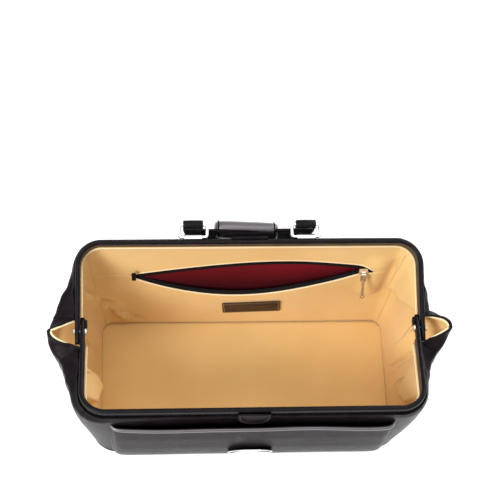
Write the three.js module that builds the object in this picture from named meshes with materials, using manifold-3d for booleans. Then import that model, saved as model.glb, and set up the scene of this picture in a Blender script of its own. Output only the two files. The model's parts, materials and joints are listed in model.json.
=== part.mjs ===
// Doctor bag, standing open: a leather body on a stiff base, two U-shaped jaws that hinge on a
// common axis, a strap handle on two rings, a front pocket with a push lock, and a zip pocket
// inside. Millimetres, +Z up, front towards -Y, origin on the ground under the centre foot.
import * as THREE from 'three';
import { mergeVertices } from 'three/addons/utils/BufferGeometryUtils.js';
import Module from 'manifold-3d';

const wasm = await Module();
wasm.setup();

const gap = 0.3;                 // between neighbouring solids
const leather = 2;
const roundSides = 20;           // facets of a turned piece
const cloth = 1;

const footHeight = 6;
const base = { length: 352, depth: 166, corner: 38, board: 2.5 };
const wall = {
  top: 164,                      // just below the hinge axis
  width: 296,
  frontTopDepth: 95.5,           // middle of the bag to the outer face, at the top
  backTopDepth: 90,
  zipRoom: 2.2,                  // between back panel and back lining, for the zip pocket's pouch
};
const gusset = { top: 168, lean: 43, bottomWidth: 112, topWidth: 44 };

const hingeHeight = 167;
const jaw = {
  reach: 99,                     // hinge axis to the outer edge of the cross bar
  section: 5,                    // thickness of the strip over its leather
  height: 12,                    // and its height, square to the jaw's plane
  tail: 14,                      // arm left beyond the hinge
  corner: 28,
  cover: 1.2,                    // leather wrapped round the steel
};
const rearJaw = { half: 190, lean: 17 };
const frontJaw = { half: rearJaw.half - jaw.section - 0.5, lean: 5 };
const pin = { radius: 2, bore: 2.3, headRadius: 4.2, head: 1.5 };
const tab = { width: 35, thickness: 2, top: 178, bottom: 149 };

const ring = { width: 34, depth: 17, bar: 3.4, bevel: 0.8, bore: 2.3, spacing: 124, reach: 102.3 };
const saddle = { width: 20, radius: 3 };
const handle = { width: 22, thickness: 4, lean: -107, gripOffset: 24, eye: 5.2 };
const grip = { length: 76, width: 30, depth: 24, bevel: 4, proud: 4.5 };   // proud: outwards of the strap
const strap = { width: 40, thickness: 3, bottom: 32 };
const hasp = { width: 30, height: 26, thickness: 2, bottom: 35 };

const pocket = { width: 306, bottom: 17, top: 147, topDepth: 106.5, lipDepth: 4, lipHeight: 4.2 };
const lock = { y: -107.4, z: 75, lean: 12.7, width: 46, height: 34, dome: 3.6, plate: 1.4 };
const button = { radius: 5, bore: 5.3, length: 2.5, proud: 0.8 };

const zip = {
  x: 7,                          // middle of the opening
  half: 141,
  z: 143,                        // at the right-hand end
  drop: 24,                      // and how much lower the left-hand end lies
  y: 83.6,
  strip: 5,
  thickness: 1.6,
  slit: 1.2,
  rise: 13,
  sag: 42,
  lean: 12,
};
const slider = { x: 131, length: 11, height: 8, thickness: 4.4, bridge: 4, bore: 1.1 };
const pull = { bar: 0.75, width: 7, length: 31, thickness: 1.4, lean: 36, stem: 3.2, eye: 3 };
const label = { x: 8.5, z: 56, width: 68, height: 28, thickness: 1 };

const radians = THREE.MathUtils.degToRad;
const group = new THREE.Group();

// ---- materials -------------------------------------------------------------------------------

const finish = (color, roughness, metalness) =>
  () => new THREE.MeshStandardMaterial({ color, roughness, metalness });
const blackLeather = finish(0x1c1a1d, 0.45, 0);
const brownLeather = finish(0x4a3527, 0.55, 0);
const beigeLining = finish(0xd9b27c, 0.85, 0);
const redLining = finish(0x78141f, 0.7, 0);
const millboard = finish(0x8a7660, 0.9, 0);
const nickel = finish(0xd8d8d6, 0.15, 1);
const steel = finish(0x8d9094, 0.4, 1);

// ---- helpers ---------------------------------------------------------------------------------

function toSolid(geometry) {
  const bare = geometry.clone();
  bare.deleteAttribute('normal');
  bare.deleteAttribute('uv');
  const merged = mergeVertices(bare, 1e-4);
  return new wasm.Manifold(new wasm.Mesh({
    numProp: 3,
    vertProperties: Float32Array.from(merged.attributes.position.array),
    triVerts: Uint32Array.from(merged.index.array),
  }));
}

function toGeometry(solid) {
  const mesh = solid.getMesh();
  const geometry = new THREE.BufferGeometry();
  geometry.setAttribute('position', new THREE.BufferAttribute(mesh.vertProperties, 3));
  geometry.setIndex(new THREE.BufferAttribute(mesh.triVerts, 1));
  geometry.computeVertexNormals();
  return geometry;
}

const cut = (body, ...tools) =>
  toGeometry(tools.reduce((solid, tool) => solid.subtract(toSolid(tool)), toSolid(body)));
const join = (...bodies) =>
  toGeometry(bodies.map(toSolid).reduce((solid, next) => solid.add(next)));

function add(parent, name, geometry, material) {
  const mesh = new THREE.Mesh(geometry, material());
  mesh.name = name;
  parent.add(mesh);
}

// A frame to build in, at a point of its parent and turned about the parent's X axis.
function place(parent, [x, y, z], turn = 0) {
  const frame = new THREE.Group();
  frame.position.set(x, y, z);
  frame.rotation.x = radians(turn);
  parent.add(frame);
  return frame;
}

const polygon = (points) => new THREE.Shape(points.map(([a, b]) => new THREE.Vector2(a, b)));

function roundedRectangle(width, height, radius, centreX = 0, centreY = 0) {
  const w = width / 2 - radius;
  const h = height / 2 - radius;
  const quarter = Math.PI / 2;
  const shape = new THREE.Shape();
  [[w, h], [-w, h], [-w, -h], [w, -h]].forEach(([x, y], i) => {
    shape.absarc(centreX + x, centreY + y, radius, i * quarter, (i + 1) * quarter);
  });
  return shape;
}

// A plate standing on z = 0, with its edges rounded by bevel.
function plate(shape, thickness, bevel = 0, curveSegments = 5) {
  return new THREE.ExtrudeGeometry(shape, {
    depth: thickness - 2 * bevel,
    curveSegments,
    bevelEnabled: bevel > 0,
    bevelThickness: bevel,
    bevelSize: bevel,
    bevelOffset: -bevel,
    bevelSegments: 1,
  }).translate(0, 0, bevel);
}

// A side view drawn in (y, z), made length long and centred on x = 0.
const alongX = (shape, length, bevel = 0) =>
  plate(shape, length, bevel).translate(0, 0, -length / 2).rotateX(Math.PI / 2).rotateZ(Math.PI / 2);

// A front view drawn in (x, z), its back on y = 0 and its front on y = -thickness.
const facingFront = (shape, thickness, bevel = 0) =>
  plate(shape, thickness, bevel).rotateX(Math.PI / 2);

// A solid of revolution whose profile gives [radius, height along +Z].
const turned = (profile) =>
  new THREE.LatheGeometry(profile.map(([r, z]) => new THREE.Vector2(r, z)), roundSides).rotateX(Math.PI / 2);

const rodAlongX = (radius, length) =>
  new THREE.CylinderGeometry(radius, radius, length, roundSides).rotateZ(Math.PI / 2);

// ---- base and feet ---------------------------------------------------------------------------

const baseTop = footHeight + gap + leather;

function buildBase() {
  const footX = base.length / 2 - 24;
  const footY = base.depth / 2 - 22;
  const feet = {
    foot_centre: [0, 0, 0],
    foot_front_left: [-footX, -footY, 0],
    foot_front_right: [footX, -footY, 0],
    foot_back_left: [-footX, footY, 0],
    foot_back_right: [footX, footY, 0],
  };
  const dome = [[0, 0], [3.5, 0], [5.5, 0.8], [6.5, 2.4], [6.5, 4], [5.5, footHeight], [0, footHeight]];
  for (const [name, spot] of Object.entries(feet)) {
    add(place(group, spot), name, turned(dome), nickel);
  }
  const layer = (name, bottom, inset, thickness, material) => {
    const outline = roundedRectangle(base.length - 2 * inset, base.depth - 2 * inset, base.corner - inset);
    add(place(group, [0, 0, bottom]), name, plate(outline, thickness, 0, 7), material);
  };
  const boardBottom = baseTop + gap;
  layer('base_panel', footHeight + gap, 0, leather, blackLeather);
  layer('base_board', boardBottom, 6.5, base.board, millboard);
  layer('base_lining', boardBottom + base.board + gap, 7.5, cloth, beigeLining);
}

// ---- walls -----------------------------------------------------------------------------------

const wallBottom = baseTop + gap;

// Middle of the bag to a wall's outer face at height z: the wall flares out as it rises.
function flare(topDepth, z) {
  const low = 1 - (z - baseTop) / (wall.top - baseTop);
  return topDepth - (topDepth - base.depth / 2) * low * low;
}
const frontFace = (z) => -flare(wall.frontTopDepth, z);
const backFace = (z) => flare(wall.backTopDepth, z);

// A sheet along X that follows a face, its two sides near and far inside that face.
function sheet(face, bottom, top, near, far, width) {
  const steps = 6;
  const inward = -Math.sign(face(bottom));
  const heights = Array.from({ length: steps + 1 }, (_, i) => bottom + (top - bottom) * i / steps);
  const side = (inset) => heights.map((z) => [face(z) + inward * inset, z]);
  return alongX(polygon([...side(near), ...side(far).reverse()]), width);
}

// A trapezium leaning outwards at the right-hand end, its outer face inset from the base's edge.
function endSheet(inset, thickness) {
  const rise = gusset.top - wallBottom;
  const outwards = new THREE.Vector3(gusset.lean, 0, rise).normalize();
  const across = new THREE.Vector3(0, 1, 0);
  const normal = across.clone().cross(outwards);
  const length = Math.hypot(gusset.lean, rise);
  const low = gusset.bottomWidth / 2;
  const high = gusset.topWidth / 2;
  const outline = polygon([[-low, 0], [low, 0], [high, length], [-high, length]]);
  const start = new THREE.Vector3(base.length / 2 - inset - thickness, 0, wallBottom + thickness);
  return plate(outline, thickness)
    .applyMatrix4(new THREE.Matrix4().makeBasis(across, outwards, normal).setPosition(start));
}

function buildWalls() {
  const behindLeather = leather + gap;
  const behindPouch = behindLeather + wall.zipRoom;
  const top = wall.top;
  const backLining = sheet(backFace, wallBottom, top, behindPouch, behindPouch + cloth, wall.width);
  const zipSlot = new THREE.BoxGeometry(2 * zip.half - 12, 20, 6)
    .rotateY(-Math.atan2(zip.drop, 2 * zip.half))
    .translate(zip.x, zip.y, zip.z - zip.drop / 2);
  add(group, 'front_panel', sheet(frontFace, wallBottom, top, 0, leather, wall.width), blackLeather);
  add(group, 'front_lining',
    sheet(frontFace, wallBottom, top, behindLeather, behindLeather + cloth, wall.width), beigeLining);
  add(group, 'back_panel', sheet(backFace, wallBottom, top, 0, leather, wall.width), blackLeather);
  add(group, 'back_lining', cut(backLining, zipSlot), beigeLining);
  add(group, 'left_gusset', endSheet(0, leather).rotateZ(Math.PI), blackLeather);
  add(group, 'right_gusset', endSheet(0, leather), blackLeather);
  add(group, 'left_lining', endSheet(behindLeather + gap, cloth).rotateZ(Math.PI), beigeLining);
  add(group, 'right_lining', endSheet(behindLeather + gap, cloth), beigeLining);
}

// ---- jaws ------------------------------------------------------------------------------------

// A U in the jaw's own plane: arms along +Y from behind the hinge, cross bar at full reach.
function jawOutline(half, inset, tail) {
  const outer = half - inset;
  const inner = half - jaw.section + inset;
  const far = jaw.reach - inset;
  const near = jaw.reach - jaw.section + inset;
  const outerRadius = jaw.corner - inset;
  const innerRadius = jaw.corner - jaw.section + inset;
  const shape = new THREE.Shape();
  shape.moveTo(outer, -tail);
  shape.absarc(outer - outerRadius, far - outerRadius, outerRadius, 0, Math.PI / 2);
  shape.absarc(outerRadius - outer, far - outerRadius, outerRadius, Math.PI / 2, Math.PI);
  shape.lineTo(-outer, -tail);
  shape.lineTo(-inner, -tail);
  shape.absarc(innerRadius - inner, near - innerRadius, innerRadius, Math.PI, Math.PI / 2, true);
  shape.absarc(inner - innerRadius, near - innerRadius, innerRadius, Math.PI / 2, 0, true);
  shape.lineTo(inner, -tail);
  shape.closePath();
  return shape;
}

function buildJaw(name, half, towards, lean) {
  const frame = place(group, [0, 0, hingeHeight], towards * lean);
  const turn = towards > 0 ? 0 : Math.PI;
  const layer = (inset, tail, bevel) => {
    const thickness = jaw.height - 2 * inset;
    return plate(jawOutline(half, inset, tail), thickness, bevel, 8).translate(0, 0, -thickness / 2);
  };
  const bore = rodAlongX(pin.bore, 3 * half);
  const coreInset = jaw.cover + gap;
  const core = cut(layer(coreInset, jaw.tail, 0), bore);
  const cover = cut(layer(0, jaw.tail, 1), layer(jaw.cover, jaw.tail + 1, 0), bore);
  add(frame, `${name}_frame`, core.rotateZ(turn), steel);
  add(frame, `${name}_frame_cover`, cover.rotateZ(turn), blackLeather);
  return frame;
}

function buildHingePins() {
  const inside = frontJaw.half - jaw.section - gap;
  const outside = rearJaw.half + gap;
  const profile = [
    [0, inside - pin.head], [pin.headRadius, inside - pin.head], [pin.headRadius, inside],
    [pin.radius, inside], [pin.radius, outside], [pin.headRadius, outside],
    [pin.headRadius - 1, outside + pin.head], [0, outside + pin.head],
  ];
  const frame = place(group, [0, 0, hingeHeight]);
  add(frame, 'hinge_pin_right', turned(profile).rotateY(Math.PI / 2), nickel);
  add(frame, 'hinge_pin_left', turned(profile).rotateY(-Math.PI / 2), nickel);
}

// A stitched half-round tab that hangs from the lower edge of the front jaw's bar.
function buildFrontTab() {
  const radius = tab.width / 2;
  const shape = new THREE.Shape();
  shape.moveTo(radius, tab.top);
  shape.lineTo(-radius, tab.top);
  shape.absarc(0, tab.bottom + radius, radius, Math.PI, 2 * Math.PI);
  shape.closePath();
  const lean = radians(frontJaw.lean);
  const barFront = jaw.reach * Math.cos(lean) + jaw.height / 2 * Math.sin(lean);
  const spot = place(group, [0, -barFront - gap, 0]);
  add(spot, 'front_tab', facingFront(shape, tab.thickness, 0.6), blackLeather);
}

// ---- handle ----------------------------------------------------------------------------------

const farBar = ring.depth - ring.bar;

function buildRings(frame) {
  const outline = roundedRectangle(ring.width, ring.depth, 4, 0, farBar / 2);
  outline.holes.push(
    roundedRectangle(ring.width - 2 * ring.bar, ring.depth - 2 * ring.bar, 1.5, 0, farBar / 2));
  const stem = ring.reach - jaw.reach - gap;
  const seat = join(
    alongX(new THREE.Shape().absarc(0, 0, saddle.radius, 0, 2 * Math.PI), saddle.width, 0.6),
    alongX(roundedRectangle(stem, 2 * saddle.radius, 1, -stem / 2, 0), saddle.width, 0.6),
  );
  for (const [side, name] of [[-1, 'left'], [1, 'right']]) {
    const spot = place(frame, [side * ring.spacing / 2, ring.reach, 0]);
    add(spot, `ring_saddle_${name}`, cut(seat, rodAlongX(ring.bore, 2 * saddle.width)), nickel);
    add(spot, `ring_${name}`, plate(outline, ring.bar, ring.bevel).translate(0, 0, -ring.bar / 2), nickel);
  }
}

// The strap is a flat arch whose ends close into eyes round the rings; the grip wraps its middle.
function buildHandle(frame) {
  const spot = place(frame, [0, ring.reach + farBar, 0], handle.lean);
  const middle = ring.spacing / 2;
  const outer = middle + handle.width / 2;
  const inner = middle - handle.width / 2;
  const far = handle.gripOffset + handle.width / 2;
  const near = handle.gripOffset - handle.width / 2;
  const bend = 24;
  const shape = new THREE.Shape();
  shape.moveTo(outer, 0);
  shape.absarc(outer - bend, far - bend, bend, 0, Math.PI / 2);
  shape.absarc(bend - outer, far - bend, bend, Math.PI / 2, Math.PI);
  shape.lineTo(-outer, 0);
  shape.lineTo(-inner, 0);
  shape.absarc(-inner + 6, near - 6, 6, Math.PI, Math.PI / 2, true);
  shape.absarc(inner - 6, near - 6, 6, Math.PI / 2, 0, true);
  shape.lineTo(inner, 0);
  shape.closePath();
  const arch = plate(shape, handle.thickness, 0.8).translate(0, 0, -handle.thickness / 2);
  const eyes = [-middle, middle].map((x) => rodAlongX(handle.eye, handle.width).translate(x, 0, 0));
  const bore = rodAlongX(ring.bore, 3 * outer);
  add(spot, 'handle_strap', cut(join(arch, ...eyes), bore), blackLeather);

  const section = new THREE.Shape().absellipse(0, 0, grip.width / 2, grip.depth / 2, 0, 2 * Math.PI, false, 0);
  const pad = alongX(section, grip.length, grip.bevel).translate(0, 0, grip.proud);
  const slot = new THREE.BoxGeometry(2 * grip.length, handle.width + 2 * gap, handle.thickness + 2 * gap);
  add(place(spot, [0, handle.gripOffset, 0]), 'handle_grip', cut(pad, slot), blackLeather);
}

// The closing strap hangs from the rear bar's outer edge, with its metal hasp at the end.
function buildClosingStrap() {
  const lean = radians(rearJaw.lean);
  const half = jaw.height / 2;
  const onBar = (reach, lift) => [
    reach * Math.cos(lean) - lift * Math.sin(lean),
    hingeHeight + reach * Math.sin(lean) + lift * Math.cos(lean),
  ];
  const inside = jaw.reach + gap;
  const outside = inside + strap.thickness;
  const [outerY] = onBar(outside, -half);
  const side = polygon([
    onBar(inside, half), onBar(inside, -half), [outerY - strap.thickness, strap.bottom],
    [outerY, strap.bottom], onBar(outside, -half), onBar(outside, half),
  ]);
  add(group, 'closing_strap', alongX(side, strap.width), blackLeather);
  const shape = roundedRectangle(hasp.width, hasp.height, 5, 0, hasp.bottom + hasp.height / 2);
  const plateY = outerY + gap + hasp.thickness;
  add(place(group, [0, plateY, 0]), 'strap_hasp', facingFront(shape, hasp.thickness, 0.5), nickel);
}

// ---- front pocket and lock -------------------------------------------------------------------

function buildPocket() {
  const bulge = new THREE.SplineCurve([
    [-87, pocket.bottom], [-95, 38], [-103.5, 65], [-107, 85], [-108, 118], [-pocket.topDepth, pocket.top],
  ].map(([y, z]) => new THREE.Vector2(y, z))).getPoints(9).map((p) => [p.x, p.y]);
  const inside = bulge.slice(1).map(([y, z]) => [y + leather, z]).reverse();
  const seam = pocket.bottom + leather;
  const side = [
    [frontFace(pocket.bottom) - gap, pocket.bottom], ...bulge, ...inside,
    [frontFace(seam) - gap - 1, seam], [frontFace(seam) - gap, seam],
  ];
  add(group, 'front_pocket', alongX(polygon(side.reverse()), pocket.width), blackLeather);
  const lipY = pocket.lipDepth / 2 - pocket.topDepth;
  const lipZ = pocket.top + gap + pocket.lipHeight / 2;
  const lip = alongX(roundedRectangle(pocket.lipDepth, pocket.lipHeight, 1.9), pocket.width, 0.8);
  add(place(group, [0, lipY, lipZ]), 'pocket_lip', lip, blackLeather);
}

function buildLock() {
  const frame = place(group, [0, lock.y, lock.z], 90 + lock.lean);
  const caseFoot = lock.plate + gap;
  const stretch = lock.width / lock.height;
  const edge = lock.height / 2;
  const dome = turned([[0, 0], [edge, 0], [edge, 0.8], [edge - 2, 2.2], [edge - 6, 3.1], [0, lock.dome]])
    .scale(stretch, 1, 1);
  const bore = new THREE.CylinderGeometry(button.bore, button.bore, 40, roundSides).rotateX(Math.PI / 2);
  add(frame, 'lock_plate', plate(roundedRectangle(lock.width + 4, lock.height + 4, 17), lock.plate, 0.4), nickel);
  add(place(frame, [0, 0, caseFoot]), 'lock_case', cut(dome, bore), nickel);
  const top = caseFoot + lock.dome + button.proud;
  const stud = [[0, top - button.length], [button.radius, top - button.length],
    [button.radius, top - 1], [button.radius - 1, top], [0, top]];
  add(frame, 'lock_button', turned(stud), nickel);
}

// ---- zip pocket ------------------------------------------------------------------------------

// A strip bowed by rise between the two ends of the zip, on one side of its middle line.
function zipStrip(side, rise) {
  const near = side * zip.slit;
  const far = side * (zip.slit + zip.strip);
  const bow = 2 * side * rise - zip.drop / 2;
  const shape = new THREE.Shape();
  shape.moveTo(-zip.half, near - zip.drop);
  shape.quadraticCurveTo(0, near + bow, zip.half, near);
  shape.lineTo(zip.half, far);
  shape.quadraticCurveTo(0, far + bow, -zip.half, far - zip.drop);
  shape.closePath();
  return facingFront(shape, zip.thickness);
}

function buildZip() {
  add(place(group, [zip.x, zip.y, zip.z]), 'zip_edge_upper', zipStrip(1, zip.rise), blackLeather);
  add(place(group, [zip.x, zip.y, zip.z], -zip.lean), 'zip_edge_lower', zipStrip(-1, zip.sag), blackLeather);

  const bodyBack = zip.y - zip.thickness - gap;
  const bodyFront = bodyBack - slider.thickness;
  const axisY = bodyFront - 2;
  const body = facingFront(roundedRectangle(slider.length, slider.height, 2.5), slider.thickness, 0.6)
    .translate(0, bodyBack - axisY, 0);
  const bridge = alongX(roundedRectangle(4.6, 5.2, 1.4, 0.7, 0), slider.bridge);
  const bore = rodAlongX(slider.bore, 2 * slider.length);
  const seat = [slider.x, axisY, zip.z];
  add(place(group, seat), 'zip_slider', cut(join(body, bridge), bore), nickel);

  // A fork over the slider's bridge, a slender stem and a small eye at its foot.
  const flat = (outline) => facingFront(outline, pull.thickness, 0.3).translate(0, pull.thickness / 2, 0);
  const eyeDrop = pull.eye - pull.length;
  const blade = join(
    flat(roundedRectangle(pull.width, 10, 2, 0, -3.6)),
    flat(roundedRectangle(pull.stem, pull.length - 8, 1, 0, -4 - pull.length / 2)),
    flat(new THREE.Shape().absarc(0, eyeDrop, pull.eye, 0, 2 * Math.PI)),
  );
  const fork = new THREE.BoxGeometry(slider.bridge + 0.7, 12, 9).translate(0, 0, 1.2);
  const hole = new THREE.CylinderGeometry(1.4, 1.4, 12, 16).translate(0, 0, eyeDrop);
  const tabbed = join(cut(blade, fork, hole), rodAlongX(pull.bar, pull.width - 1));
  add(place(group, seat, -pull.lean), 'zip_pull', tabbed, nickel);

  const pouchNear = leather + gap;
  const pouch = sheet(backFace, 58, zip.z + 6, pouchNear, pouchNear + 1.6, 2 * zip.half - 8)
    .translate(zip.x, 0, 0);
  add(group, 'pocket_bag', pouch, redLining);

  const liningDepth = leather + gap + wall.zipRoom + cloth;
  const reach = label.height / 2;
  const drift = backFace(label.z + reach) - backFace(label.z - reach);
  const slope = THREE.MathUtils.radToDeg(Math.atan2(drift, label.height));
  const labelSpot = place(group, [label.x, backFace(label.z) - liningDepth - 0.5, label.z], -slope);
  const patch = facingFront(roundedRectangle(label.width, label.height, 2), label.thickness, 0.2);
  add(labelSpot, 'label_patch', patch, brownLeather);
}

buildBase();
buildWalls();
buildJaw('front', frontJaw.half, -1, frontJaw.lean);
const rearFrame = buildJaw('rear', rearJaw.half, 1, rearJaw.lean);
buildHingePins();
buildFrontTab();
buildRings(rearFrame);
buildHandle(rearFrame);
buildClosingStrap();
buildPocket();
buildLock();
buildZip();

export default group;
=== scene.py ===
"""Looks of the doctor bag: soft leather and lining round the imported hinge, ring, zip and lock parts.

Metres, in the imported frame: +X to the bag's right end, -Y to the front pocket, +Z up.
"""

import json
import math

import bpy
import numpy as np
from mathutils import Matrix, Vector


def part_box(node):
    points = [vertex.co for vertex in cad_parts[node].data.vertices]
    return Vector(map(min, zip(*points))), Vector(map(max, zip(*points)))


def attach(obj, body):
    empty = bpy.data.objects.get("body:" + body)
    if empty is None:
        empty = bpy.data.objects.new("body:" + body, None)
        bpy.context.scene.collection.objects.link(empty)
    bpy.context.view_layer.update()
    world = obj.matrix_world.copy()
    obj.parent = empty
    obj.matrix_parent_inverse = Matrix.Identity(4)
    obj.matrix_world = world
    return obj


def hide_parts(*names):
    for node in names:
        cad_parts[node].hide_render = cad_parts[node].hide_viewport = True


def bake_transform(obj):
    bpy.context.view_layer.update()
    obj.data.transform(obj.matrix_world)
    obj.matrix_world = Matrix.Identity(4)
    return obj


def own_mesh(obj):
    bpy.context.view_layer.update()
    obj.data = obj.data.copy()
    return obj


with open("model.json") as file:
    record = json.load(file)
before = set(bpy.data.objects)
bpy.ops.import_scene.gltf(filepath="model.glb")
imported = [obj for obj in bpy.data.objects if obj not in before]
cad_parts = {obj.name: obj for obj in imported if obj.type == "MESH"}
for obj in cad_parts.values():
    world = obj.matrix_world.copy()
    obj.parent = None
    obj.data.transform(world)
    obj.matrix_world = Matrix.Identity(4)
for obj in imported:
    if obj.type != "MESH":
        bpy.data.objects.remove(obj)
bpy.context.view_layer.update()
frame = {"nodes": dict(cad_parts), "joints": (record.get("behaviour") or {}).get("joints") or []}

mm = 0.001
nodes = frame["nodes"]
joints = {joint["name"]: joint for joint in frame["joints"]}
hinge_height = joints["rear_jaw_hinge"]["pos_m"][2]
ring_axis = Vector(joints["ring_swing"]["pos_m"])
handle_axis = Vector(joints["handle_swing"]["pos_m"])

base_low, base_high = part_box("base_panel")
floor_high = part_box("base_lining")[1]
tip_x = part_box("right_gusset")[1].x

hide_thickness = 1.6 * mm
cloth_thickness = 0.8 * mm
piping_radius = 1.5 * mm
corner_radius = 28 * mm
tail = 14 * mm                   # how far a rear arm runs on past the hinge
strip = 5 * mm                   # thickness of a jaw over its leather
ends = {-1: "left", 1: "right"}
sides = {1: "rear", -1: "front"}

# ---- numbers and curves ----


def smooth(edge0, edge1, value):
    share = np.clip((value - edge0) / (edge1 - edge0), 0, 1)
    return share * share * (3 - 2 * share)


def unit(vectors):
    return vectors / (np.linalg.norm(vectors, axis=-1, keepdims=True) + 1e-12)


def around(count):
    """Evenly spaced angles once round a circle."""
    return np.linspace(0, 2 * math.pi, count, endpoint=False)


class Jaw:
    """A U-shaped strip that lies in a plane through the hinge axis, leaning up from it."""

    def __init__(self, side, half, reach, height, lean):
        self.side = side
        self.half = half
        self.reach = reach
        self.height = height
        self.lean = lean

    def at(self, x, r, w):
        """World points from places across the bag, out from the hinge and square to the jaw."""
        x, r, w = np.broadcast_arrays(np.asarray(x, float), r, w)
        y = self.side * (r * math.cos(self.lean) - w * math.sin(self.lean))
        z = hinge_height + r * math.sin(self.lean) + w * math.cos(self.lean)
        return np.stack([x, y, z], axis=-1)


def measure_jaws():
    """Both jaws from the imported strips: the rear one's lean is the ring axis's own."""
    lean = math.atan2(ring_axis.z - hinge_height, ring_axis.y)
    c, s = math.cos(lean), math.sin(lean)
    rear_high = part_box("rear_frame_cover")[1]
    out, up = rear_high.y, rear_high.z - hinge_height
    reach = (out * c - up * s) / (c * c - s * s)
    half_height = (up * c - out * s) / (c * c - s * s)
    front_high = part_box("front_frame_cover")[1]
    front_lean = math.asin((front_high.z - hinge_height - half_height) / reach)
    rear = Jaw(1, rear_high.x, reach, 2 * half_height, lean)
    front = Jaw(-1, front_high.x, reach, 2 * half_height, front_lean)
    return rear, front


rear_jaw, front_jaw = measure_jaws()

# ---- mesh helpers ----


def mesh_object(name, points, faces, material):
    mesh = bpy.data.meshes.new(name)
    mesh.from_pydata([tuple(p) for p in points], [], faces)
    mesh.polygons.foreach_set("use_smooth", [True] * len(mesh.polygons))
    mesh.materials.append(material)
    mesh.update()
    obj = bpy.data.objects.new(name, mesh)
    bpy.context.scene.collection.objects.link(obj)
    return obj


def grid_faces(rows, columns, wrap_rows=False, wrap_columns=False):
    faces = []
    for i in range(rows if wrap_rows else rows - 1):
        for j in range(columns if wrap_columns else columns - 1):
            a, b = i * columns, ((i + 1) % rows) * columns
            k = (j + 1) % columns
            faces.append((a + j, a + k, b + k, b + j))
    return faces


def grid(name, points, material, **wrap):
    rows, columns = points.shape[:2]
    return mesh_object(name, points.reshape(-1, 3), grid_faces(rows, columns, **wrap), material)


def skin(name, rings, material):
    """A closed form through rings of points, with a cap on each end."""
    rows, columns = rings.shape[:2]
    faces = grid_faces(rows, columns, wrap_columns=True)
    faces.append(tuple(range(columns))[::-1])
    faces.append(tuple(range((rows - 1) * columns, rows * columns)))
    return mesh_object(name, rings.reshape(-1, 3), faces, material)


def thicken(obj, thickness, offset=-1):
    modifier = obj.modifiers.new("thickness", "SOLIDIFY")
    modifier.thickness = thickness
    modifier.offset = offset
    return obj


def subdivide(obj, levels=1):
    modifier = obj.modifiers.new("smooth", "SUBSURF")
    modifier.levels = levels
    modifier.render_levels = levels
    return obj


def rounded_section(width, height, radius, steps=3):
    """Points round a rounded rectangle, anticlockwise from its right side."""
    points = []
    for quarter, (sx, sy) in enumerate([(1, 1), (-1, 1), (-1, -1), (1, -1)]):
        for i in range(steps + 1):
            angle = (quarter + i / steps) * math.pi / 2
            points.append((sx * (width / 2 - radius) + radius * math.cos(angle),
                           sy * (height / 2 - radius) + radius * math.sin(angle)))
    return np.array(points)


def sweep(name, path, section, side, up, material, closed=False):
    """Carries a section along a path; side and up give its two directions, at each point or for all."""
    side, up = (np.broadcast_to(direction, path.shape)[:, None] for direction in (side, up))
    rings = path[:, None] + section[:, :1] * side + section[:, 1:] * up
    if closed:
        return grid(name, rings, material, wrap_rows=True, wrap_columns=True)
    return skin(name, rings, material)


def tube(name, path, radius, material, closed=False):
    """A round cord along a path."""
    tangent = unit(np.gradient(path, axis=0))
    guide = np.where(np.abs(tangent[:, 2:]) > 0.9, [[1.0, 0, 0]], [[0, 0, 1.0]])
    side = unit(np.cross(tangent, guide))
    up = np.cross(side, tangent)
    angles = around(8)
    section = radius * np.stack([np.cos(angles), np.sin(angles)], axis=1)
    return sweep(name, path, section, side, up, material, closed)


def resample(path, spacing):
    """Evenly spaced places along a path, with the path's direction at each."""
    lengths = np.concatenate([[0], np.cumsum(np.linalg.norm(np.diff(path, axis=0), axis=1))])
    count = max(2, int(lengths[-1] / spacing))
    places = (np.arange(count) + 0.5) * lengths[-1] / count
    points = np.stack([np.interp(places, lengths, path[:, k]) for k in range(3)], axis=1)
    ahead = np.stack([np.interp(places + 1e-4, lengths, path[:, k]) for k in range(3)], axis=1)
    return points, unit(ahead - points)


def stitches(name, path, normal, material, spacing=3.2 * mm, length=2.3 * mm, width=0.7 * mm):
    """A run of thread stitches lying on a surface whose normal is given."""
    points, direction = resample(path, spacing)
    across = unit(np.cross(normal, direction))
    upward = np.cross(direction, across)
    # One stitch, in shares of its length, width and width again for its height: six points round
    # its foot and two along its crown.
    shape = [(-0.5, 0, -0.2), (-0.3, 0.5, 0.1), (0.3, 0.5, 0.1), (0.5, 0, -0.2), (0.3, -0.5, 0.1),
             (-0.3, -0.5, 0.1), (-0.2, 0, 0.55), (0.2, 0, 0.55)]
    faces = [(0, 6, 1), (1, 6, 7, 2), (2, 7, 3), (3, 7, 4), (4, 7, 6, 5), (5, 6, 0)]
    vertices, polygons = [], []
    for p, d, a, u in zip(points, direction, across, upward):
        start = len(vertices)
        vertices += [p + d * along * length + a * aside * width + u * high * width
                     for along, aside, high in shape]
        polygons += [tuple(start + k for k in face) for face in faces]
    return mesh_object(name, vertices, polygons, material)


# ---- materials ----


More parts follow.
